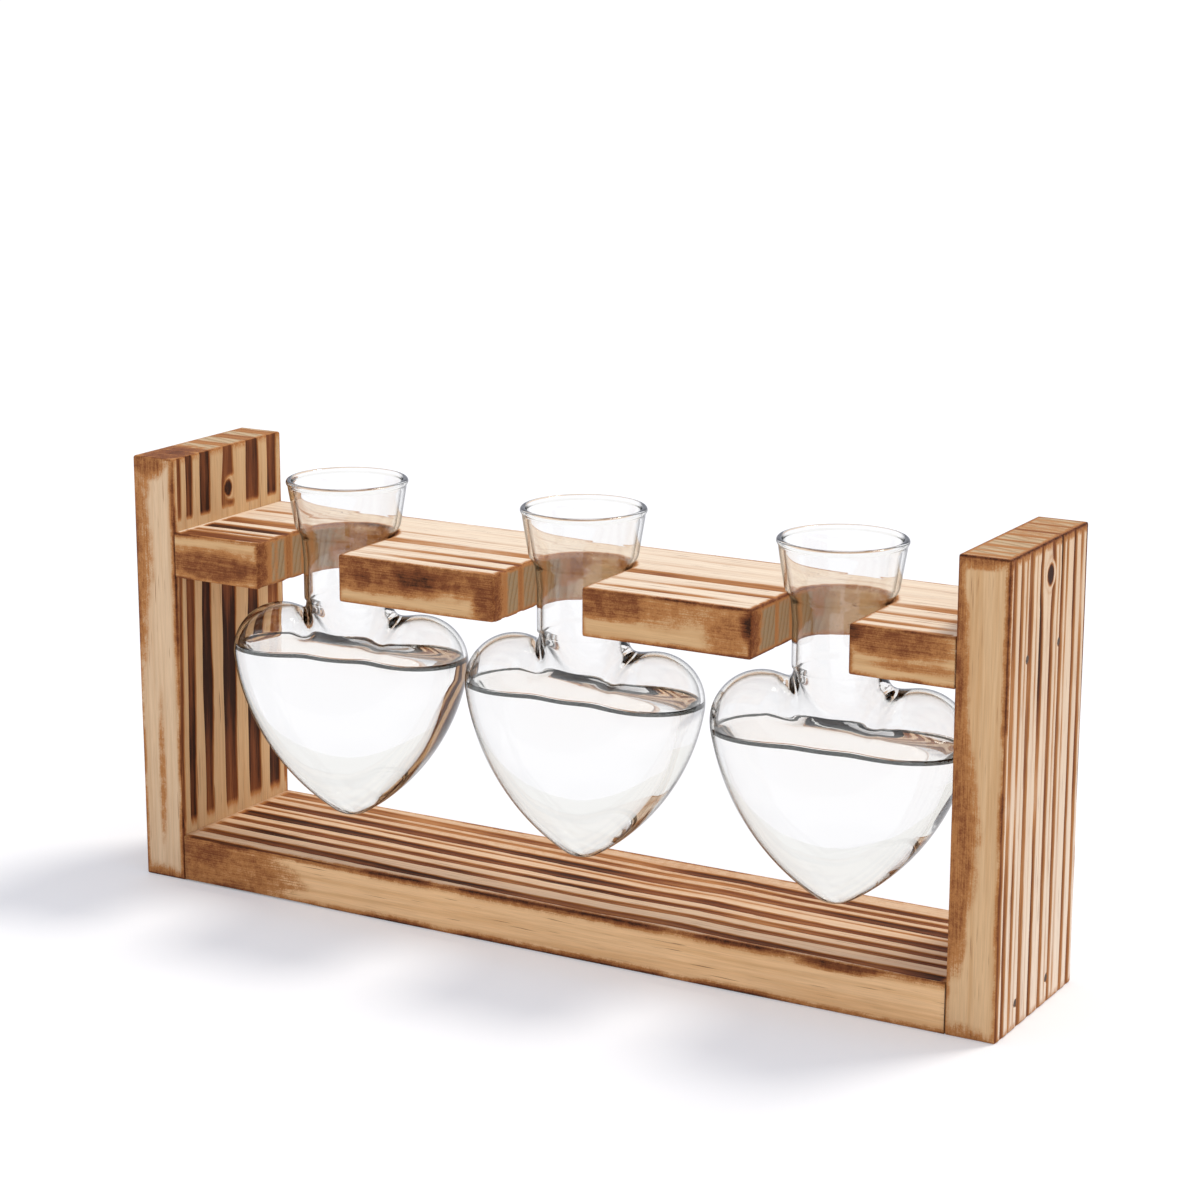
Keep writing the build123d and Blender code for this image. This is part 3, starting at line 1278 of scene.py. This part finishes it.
    def glass_form(self, outer: BMesh, inner: BMesh) -> BMesh:
        """Joins the outer and inner skins with the turned neck.

        Args:
            outer: Skin of the outside.
            inner: Skin of the inside.

        Returns:
            One closed wall of glass.
        """
        form = outer.copy()
        rows = [sorted(self.rims(form)[0], key=bearing_of)]
        turns = [bearing_of(vert) for vert in rows[0]]
        for radius, height in self.lip_profile():
            rows.append([form.verts.new((radius * math.cos(t), radius * math.sin(t), height)) for t in turns])
        for low, high in zip(rows, rows[1:]):
            close_band(form, low, high)
        copies = {vert: form.verts.new(vert.co) for vert in inner.verts}
        for face in inner.faces:
            form.faces.new([copies[vert] for vert in face.verts])
        # The neck's last ring and the inner rim have different counts, so the nearer point comes next
        last, end = rows[-1], sorted((copies[vert] for vert in self.rims(inner)[0]), key=bearing_of)
        i = j = 0
        while i < len(last) or j < len(end):
            near, far = last[i % len(last)], end[j % len(end)]
            if j == len(end) or (i < len(last) and bearing_of(near) <= bearing_of(far)):
                i += 1
                third = last[i % len(last)]
            else:
                j += 1
                third = end[j % len(end)]
            form.faces.new((near, third, far))
        bmesh.ops.recalc_face_normals(form, faces=form.faces[:])
        return form

    def water_form(self, inner: BMesh) -> BMesh:
        """Fills the heart with water up to its level, which climbs a little where it meets the glass.

        Args:
            inner: Skin of the inside.

        Returns:
            The closed body of water, whose side has the second material.
        """
        form = inner.copy()
        self.cut(form, self.water_height + self.meniscus_rise, True)
        form.normal_update()
        for face in form.faces:
            face.material_index = 1
        for vert in form.verts:
            vert.co -= vert.normal * self.water_gap
        for row in self.rims(form):
            points = places(row)
            for before, reach in itertools.pairwise((0.0, *self.meniscus_rows)):
                away = unit(slopes(self.form_distance, points, NORMAL_STEP)[:, :2])
                points[:, :2] -= away * (reach - before)
                points[:, 2] = self.water_height + self.meniscus_rise * math.exp(-reach / self.meniscus_reach)
                fresh = [form.verts.new(point) for point in points]
                close_band(form, row, fresh)
                row = fresh
            bmesh.ops.triangulate(form, faces=[form.faces.new(row)])
        bmesh.ops.recalc_face_normals(form, faces=form.faces[:])
        return form

    def place(self, form: BMesh, name: str, materials: list[Material]) -> Object:
        """Turns a form about the neck, takes it to its slot and makes it a piece on the vase's body.

        Args:
            form: The form in the vase's own frame.
            name: The piece's name.
            materials: Its materials.

        Returns:
            The piece.
        """
        turn = Matrix.Rotation(math.radians(self.turn), 4, "Z")
        form.transform(Matrix.Scale(METRES, 4) @ Matrix.Translation((self.place_x, VASE_Y, 0.0)) @ turn)
        piece = new_object(name, mesh_of(form, name))
        piece.data.shade_smooth()
        for material in materials:
            piece.data.materials.append(material)
        # Clear glass throws next to no shadow, and light that bounces off the wood goes through it
        piece.visible_shadow = False
        piece.visible_diffuse = False
        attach(piece, self.body)
        return piece

    def build(self, outer: BMesh, inner: BMesh, materials: list[Material]) -> list[Object]:
        """Makes the vase and its water from the shared skins.

        Args:
            outer: Skin of the outside.
            inner: Skin of the inside.
            materials: Glass, glass against water, the painted dark line at the water's level, water and the
                water's side.

        Returns:
            The glass piece and the water piece.
        """
        wet_top = self.water_height + self.meniscus_rise
        painted_line_low, painted_line_high = (self.water_height + rise for rise in self.painted_line_rise)
        banded = inner.copy()
        for height in (painted_line_low, painted_line_high, wet_top):
            self.cut(banded, height, False)
        form = self.glass_form(outer, banded)
        banded.free()
        middles = np.array([face.calc_center_median()[:] for face in form.faces])
        heights = middles[:, 2]
        inside = self.form_distance(middles) < -self.wall / 2
        finish = np.where(inside & (heights < wet_top), 1, 0)
        # Painted shade: a dark band round the inside of the wall just over the water, for the dark line that
        # the meniscus shows
        finish[inside & (heights > painted_line_low) & (heights < painted_line_high)] = 2
        for face, index in zip(form.faces, finish.tolist()):
            face.material_index = index
        glass = self.place(form, f"glass_{self.solid}", materials[:3])
        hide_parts(self.solid)
        return [glass, self.place(self.water_form(inner), f"water_in_{self.solid}", materials[3:])]


# Setting


@dataclass(frozen=True)
class TableFinish(Finish):
    """Matt white laminate, which keeps the stand's shadow but is seen a little lighter than it is lit."""

    name: str = "matt white table top"
    white: str = "#fafafa"
    lit_share: float = 0.78

    def shader(self, tree: NodeTree) -> Node:
        """Adds the nodes.

        Args:
            tree: The material's node tree.

        Returns:
            The shader.
        """
        signals = {"seen": add_seen(tree)}
        add_steps(tree, signals, [("glowing", Work.MULTIPLY, "seen", 1.0 - self.lit_share)])
        lit = add_node(tree, "ShaderNodeBsdfDiffuse", {0: self.white})
        glow = add_node(tree, "ShaderNodeEmission", {0: WHITE, 1: 1.0})
        return add_node(tree, "ShaderNodeMixShader", {0: signals["glowing"], 1: lit, 2: glow})


@dataclass
class Studio:
    """A white table top under soft light, and the camera of the photograph.

    The camera's turn is its bearing, tilt and roll, and the sun's its lean and bearing, in degrees.
    """

    camera_place: Triple = (459.11, -793.51, 329.03)
    camera_turn: Triple = (29.771, 13.576, -0.110)
    focal_share: float = 2998.43 / 1200.0
    sensor_width: float = 36.0
    table_half: float = 12000.0
    sky: str = "#f0f3ff"
    sky_strength: float = 0.8
    sun: str = "#fffaf1"
    sun_turn: Pair = (30.5, 149.0)
    sun_strength: float = 1.6
    sun_angle: float = 15.0

    def camera(self) -> None:
        """Makes the camera from its solved place and turn."""
        bearing, tilt, roll = (math.radians(angle) for angle in self.camera_turn)
        turn = Matrix.Rotation(bearing, 4, "Z") @ Matrix.Rotation(math.pi / 2 - tilt, 4, "X")
        turn @= Matrix.Rotation(-roll, 4, "Z")
        data = bpy.data.cameras.new("photograph")
        data.sensor_width = self.sensor_width
        data.lens = self.sensor_width * self.focal_share
        data.clip_start = 0.01
        camera = new_object("photograph", data)
        camera.matrix_world = Matrix.Translation(Vector(self.camera_place) * METRES) @ turn
        bpy.context.scene.camera = camera

    def world(self) -> None:
        """Makes an even pale sky, which shows as plain white."""
        world = bpy.data.worlds.new("studio")
        bpy.context.scene.world = world
        world.use_nodes = True
        tree = world.node_tree
        tree.nodes.clear()
        light = add_node(tree, "ShaderNodeBackground", {0: self.sky, 1: self.sky_strength})
        white = add_node(tree, "ShaderNodeBackground", {0: WHITE, 1: 1.0})
        mix = add_node(tree, "ShaderNodeMixShader", {0: add_seen(tree), 1: light, 2: white})
        add_node(tree, "ShaderNodeOutputWorld", {0: mix})

    def table(self) -> None:
        """Makes the table top."""
        corners = np.array([(-1, -1, 0), (1, -1, 0), (1, 1, 0), (-1, 1, 0)]) * self.table_half
        top = make_object("table_top", corners, [[0, 1, 2, 3]])
        top.data.materials.append(TableFinish().material())

    def lamps(self) -> None:
        """Makes the broad key light, high up and from behind the right."""
        data = bpy.data.lights.new("key", "SUN")
        data.energy = self.sun_strength
        data.color = linear(self.sun)[:3]
        data.angle = math.radians(self.sun_angle)
        lean, bearing = (math.radians(angle) for angle in self.sun_turn)
        turn = Matrix.Rotation(bearing, 4, "Z") @ Matrix.Rotation(lean, 4, "X")
        new_object("key", data).matrix_world = turn

    def build(self) -> None:
        """Sets up camera, light and table."""
        self.camera()
        self.world()
        self.table()
        self.lamps()
        bpy.context.scene.view_settings.view_transform = "Standard"


# The stand's boards, with their bands and clouds where the photograph shows them


def stand_boards() -> list[Board]:
    """Lists the four boards of the stand.

    Returns:
        The boards.
    """
    # Partly painted shade: the left upright's wide faces are darker and warmer, for the shade and warm bounce
    # light inside the stand, where its inner face looks
    left_wood_with_painted_shade = PineFinish("torched pine, left upright", Axis.Z, pale="#cea368")
    # Partly painted light: the right upright's wide faces are made paler to keep its sunlit outer face bright
    right_wood_with_painted_light = PineFinish("torched pine, right upright", Axis.Z, pale="#f6e6d2", tan="#dfb98b",
                            honey="#c18d55")
    base_wood = PineFinish("torched pine, base", Axis.X, pale="#d8c6b2", tan="#f4c894", honey="#d09a5f")
    # Partly painted shade: the rail's end grain, which shows on the sides of the slots, is darker and greyer
    # for the shade inside the slots
    rail_wood_with_painted_slot_shade = PineFinish("torched pine, rail", Axis.X, tan="#dcb381", honey="#bd8850", end_wood="#a48f6e",
                           end_ring="#7f6040", ring_width=2.4)
    height, base_top, rail_bottom, rail_top = 144.0, 15.9, 104.4, 119.8
    outer, inner, half = OUTER_X, INNER_X, HALF_DEPTH
    front, top, slot = Face.FRONT, Face.TOP, Face.SLOT
    nails = tuple(itertools.product(Nails.places_y, Nails.heights))
    left = Board(
        "left_upright", left_wood_with_painted_shade, (-outer, -half, 0.0), (-inner, half, height),
        bands=(Band(0.6, 1.6, 0.7), Band(6, 3.6, 0.85), Band(14.9, 4.8, 0.92), Band(27.2, 6.6, 0.9),
               Band(40.8, 6.8, 0.92), Band(52.2, 5.6, 0.92), Band(58.4, 1, 0.6)),
        drift=((0, 0), (30, 0.2), (144, 2.6)),
        clouds=(Cloud(front, (-155, 118), (6.5, 46), 0.38), Cloud(front, (-150, 142), (9, 5), 0.5),
                Cloud(front, (-146.5, 36), (1.5, 24), 0.3), Cloud(front, (-148, 1), (9, 4), 0.22),
                Cloud(front, (-138.4, 132), (1.8, 14), 0.6), Cloud(top, (-146, -22), (9, 16), 0.62)),
        knots=(Knot(29.7, 129.5, 2.6),), nail_places=nails, nail_face=-1,
        joints=(base_top, rail_top), joint_margin=4.0, paleness=(0.5, 0.5), seed=3)
    high = ((0, 0.95), (60, 0.95), (104, 1.08), (144, 1.4))
    right = Board(
        "right_upright", right_wood_with_painted_light, (inner, -half, 0.0), (outer, half, height),
        bands=(Band(0.4, 1, 0.85), Band(4, 2.5, 0.68, high), Band(9.2, 1.8, 0.6, high),
               Band(12.4, 0.7, 0.36, high), Band(16.2, 3, 0.66, high), Band(20.6, 0.7, 0.34, high),
               Band(24.6, 2.3, 0.68, high), Band(32.7, 2.5, 0.66, high), Band(36.6, 0.7, 0.34, high),
               Band(40, 2.2, 0.62, high), Band(43.4, 1, 0.46, high), Band(50, 2.1, 0.62, high),
               Band(55.5, 2.3, 0.6, high), Band(59.3, 1, 0.8)),
        drift=((0, 0.4), (70, 0), (144, -0.4)),
        clouds=(Cloud(front, (138, 104), (3.8, 46), 0.52, 0.25), Cloud(front, (144, 143.5), (9, 3), 0.5),
                Cloud(front, (138.5, 56), (8.2, 38), 0.46, 0.25), Cloud(front, (143, 1), (9, 2.6), 0.4),
                Cloud(top, (146, 12), (9, 14), 0.2)),
        knots=(Knot(30.2, 133.9, 2.8),), nail_places=nails, nail_face=1, paleness=(0.8, 0.32),
        groove_depth=0.45, band_softness=(0.4, 1.1), band_change=0.6, seed=5)
    base = Board(
        "base_board", base_wood, (-inner, -half, 0.0), (inner, half, base_top),
        bands=(Band(1, 2.4, 0.9), Band(8.8, 4.2, 0.92), Band(17.8, 3.3, 0.86), Band(24.7, 3.2, 0.82),
               Band(32, 4.4, 0.8), Band(38.2, 1.4, 0.5), Band(43.2, 4.8, 0.76), Band(49.8, 2.6, 0.56),
               Band(55.2, 4.2, 0.72)),
        drift=((-inner, 0), (-40, -2.6), (20, -4.2), (46, -3.4), (70, -4.8), (inner, -5.4)),
        clouds=(Cloud(front, (-128, 7), (34, 13), 0.42, 0.4), Cloud(front, (-130, 11), (20, 7), 0.51, 0.6),
                Cloud(front, (-40, 15.6), (100, 1.4), 0.5), Cloud(front, (104, 15.4), (15, 2.6), 0.75),
                # The faint cloud on the top darkens the back half of the base's top
                Cloud(front, (60, 0.4), (80, 1.4), 0.35), Cloud(top, (10, 20), (140, 20), 0.14, 0.7)),
        joints=(-inner, inner), joint_margin=2.4, paleness=(0.5, 0.55), edge_radii=(0.0, 0.8, 0.8),
        edge_scorch=1.5, seed=7)
    blocks = ((-138, 1.3), (-106, 1.3), (-72, 0.4), (-30, 0.9), (-14, 1.2), (15, 0.5), (45, 0.8), (75, 1.1),
              (100, 0.6), (138, 0.9))
    left_end = ((-112, 1), (-98, 0.5), (-74, 0))
    rail = VaseRail(
        "vase_rail", rail_wood_with_painted_slot_shade, (-inner, -half, rail_bottom), (inner, half, rail_top),
        bands=(Band(1, 1.4, 0.66, blocks), Band(7.3, 2.6, 0.62, blocks), Band(16.8, 2.6, 0.56, blocks),
               Band(28, 5, 0.5), Band(39.2, 1.4, 0.26), Band(50, 1.6, 0.18), Band(4.4, 3.8, 0.8, left_end),
               Band(11.5, 1.6, 0.6, left_end), Band(18.6, 4, 0.74, left_end), Band(30, 5.4, 0.7, left_end),
               Band(45, 3, 0.5, left_end)),
        drift=((-inner, -2), (-100, -1), (-70, 0), (inner, 0)),
        clouds=(Cloud(front, (-121, 110), (25, 6), 0.58), Cloud(front, (-50, 116), (42, 7), 0.55, 0.35),
                Cloud(front, (-44, 115), (13, 4.6), 0.8, 0.7), Cloud(front, (-64, 114), (5, 4), 0.72, 0.7),
                Cloud(front, (-18, 112), (6, 9), 0.6), Cloud(front, (24, 117), (16, 6), 0.62),
                Cloud(front, (45, 118), (34, 7), 0.34, 0.7), Cloud(front, (66, 112), (9, 8), 0.42, 0.7),
                Cloud(front, (73, 115), (4, 6), 0.9, 0.8), Cloud(front, (106, 118), (5, 4.5), 0.85, 0.8),
                Cloud(front, (118, 116), (20, 4.4), 0.55), Cloud(front, (126, 109), (16, 1.6), 0.35),
                Cloud(slot, (-29, 112), (6, 14), 0.56), Cloud(slot, (-29, 112), (3.4, 14), 0.5),
                Cloud(slot, (-29, 112), (3.4, 14), 0.55), Cloud(slot, (-4, 112), (13, 60), 0.1, 0.6)),
        joints=(-inner, inner), joint_margin=1.6, paleness=(0.72, 0.72), edge_scorch=1.1, groove_depth=0.35,
        band_softness=(0.8, 1.9), band_change=0.8, seed=9)
    return [left, right, base, rail]


def main() -> None:
    """Builds the setting, the stand, the nails and the vases with their water, and reports each piece."""
    logging.basicConfig(level=logging.INFO, format="%(name)s: %(message)s")
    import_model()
    Studio().build()
    pieces = [board.build() for board in stand_boards()] + [Nails().build()]
    glass, water = 1.5, 1.333
    materials = [finish.material() for finish in (
        # Painted shade: the glass, and the glass under water, darken to these colours at the edges seen side
        # on
        ClearFinish("blown soda glass", glass, edge="#0b0d0d", painted_edge_start=0.58),
        ClearFinish("glass against water", glass / water, edge="#4b5150", painted_edge_start=0.7),
        # Painted shade: the near-black band on the glass at the water's level
        ClearFinish("painted shade at the water line on glass", glass / water, clear="#222422", edge="#222422"),
        ClearFinish("water", water),
        WaterSideFinish())]
    left_x, middle_x, right_x = VASE_X
    vases = [HeartVase("left_vase", "vase_left", left_x, 8.5, 79.0),
             HeartVase("middle_vase", "vase_middle", middle_x, 1.0, 77.3),
             HeartVase("right_vase", "vase_right", right_x, 4.0, 74.8)]
    outer, inner = vases[0].heart_skin(0.0), vases[0].heart_skin(-vases[0].wall)
    for vase in vases:
        pieces += vase.build(outer, inner, materials)
    for piece in pieces:
        LOG.info("%s: %d faces", piece.name, len(piece.data.polygons))


if __name__ == "__main__":
    main()
